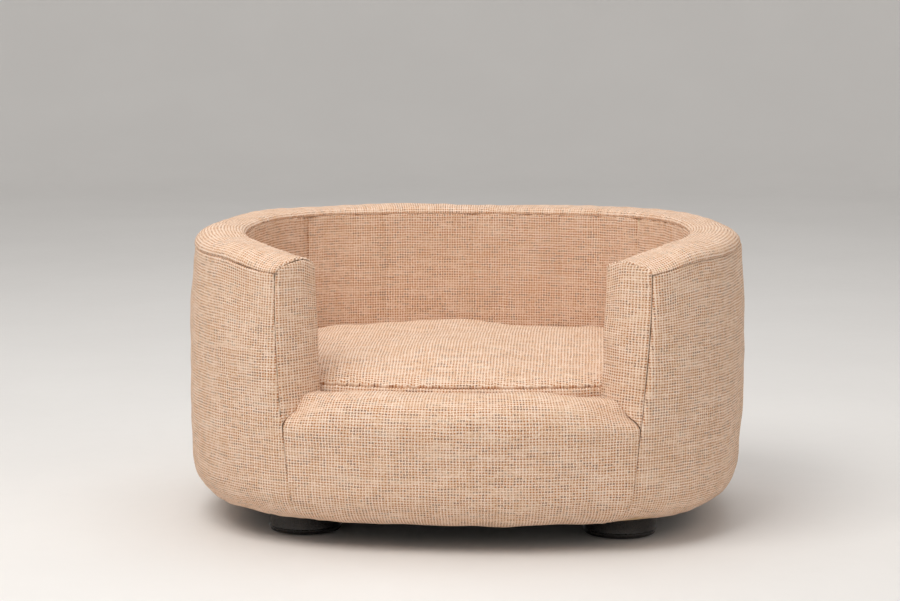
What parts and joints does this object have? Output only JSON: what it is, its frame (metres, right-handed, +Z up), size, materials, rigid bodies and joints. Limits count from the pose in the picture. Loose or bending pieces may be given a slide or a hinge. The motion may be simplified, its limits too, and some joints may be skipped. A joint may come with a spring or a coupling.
{
  "type": "dog bed with frame",
  "caption": "Oval tub-shaped sofa bed for a small dog: padded wooden frame on low feet, open at the front above a padded sill, with a loose crowned cushion in the nest.",
  "frame": {"origin": "on the floor under the middle of the tub's plan", "axes": "+Z up; the open front with its padded sill faces -Y; +X is to the right of someone who looks at the front"},
  "size_m": [0.6, 0.4999, 0.312],
  "materials": {
    "tub_weave": "coarse basket weave in pinkish cream and tan yarns with brown specks, matt",
    "cushion_weave": "the same coarse basket weave, matt",
    "deck_cloth": "plain beige lining cloth, matt",
    "dust_cloth": "thin black spunbond cloth, matt",
    "foam": "pale yellow open-cell foam",
    "cushion_filling": "white fibre filling",
    "plywood": "plain birch plywood",
    "pine": "planed pine",
    "hardboard": "smooth brown hardboard",
    "zinc_steel": "zinc-plated steel",
    "foot_plastic": "black moulded plastic, glossy",
    "foot_pad_rubber": "black rubber, matt",
    "zip_tape": "beige woven tape",
    "zip_teeth": "beige moulded coil",
    "zip_metal": "beige-lacquered zinc alloy"
  },
  "bodies": {
    "tub": {"arm_foam_left": "foam", "arm_foam_right": "foam", "arm_front_cover_left": "tub_weave", "arm_front_cover_right": "tub_weave", "base_board": "plywood", "bearer_front": "pine", "bearer_rear": "pine", "deck_cover": "deck_cloth", "deck_foam": "foam", "dust_cover": "dust_cloth", "dust_cover_staples": "zinc_steel", "foot_front_left": "foot_plastic", "foot_front_right": "foot_plastic", "foot_pad_front_left": "foot_pad_rubber", "foot_pad_front_right": "foot_pad_rubber", "foot_pad_rear_left": "foot_pad_rubber", "foot_pad_rear_right": "foot_pad_rubber", "foot_rear_left": "foot_plastic", "foot_rear_right": "foot_plastic", "foot_screws": "zinc_steel", "frame_screws": "zinc_steel", "front_rail": "plywood", "inner_cover": "tub_weave", "inner_foam": "foam", "inner_skin": "hardboard", "outer_cover": "tub_weave", "outer_foam": "foam", "outer_skin": "hardboard", "post_front_left": "pine", "post_front_right": "pine", "post_rear_left": "pine", "post_rear_middle": "pine", "post_rear_right": "pine", "post_side_left": "pine", "post_side_right": "pine", "rim_cover": "tub_weave", "rim_foam": "foam", "seat_board": "plywood", "sill_cover": "tub_weave", "sill_foam": "foam", "top_rail": "plywood"},
    "cushion": {"cushion_cover": "cushion_weave", "cushion_core": "cushion_filling", "zip_tape": "zip_tape", "zip_chain": "zip_teeth"},
    "zip_slider": {"zip_slider": "zip_metal"},
    "zip_pull": {"zip_pull": "zip_metal"}
  },
  "joints": [
    {"name": "cushion_lift", "type": "slide", "parent": "tub", "child": "cushion", "axis": [0, 0, 1], "range_m": [0, 0.3]},
    {"name": "zip_slide", "type": "slide", "parent": "cushion", "child": "zip_slider", "axis": [1, 0, 0], "range_m": [0, 0.219]},
    {"name": "zip_pull_swing", "type": "hinge", "parent": "zip_slider", "child": "zip_pull", "pos_m": [-0.1095, 0.11, 0.1132], "axis": [0, 1, 0], "range_deg": [0, 20]}
  ]
}
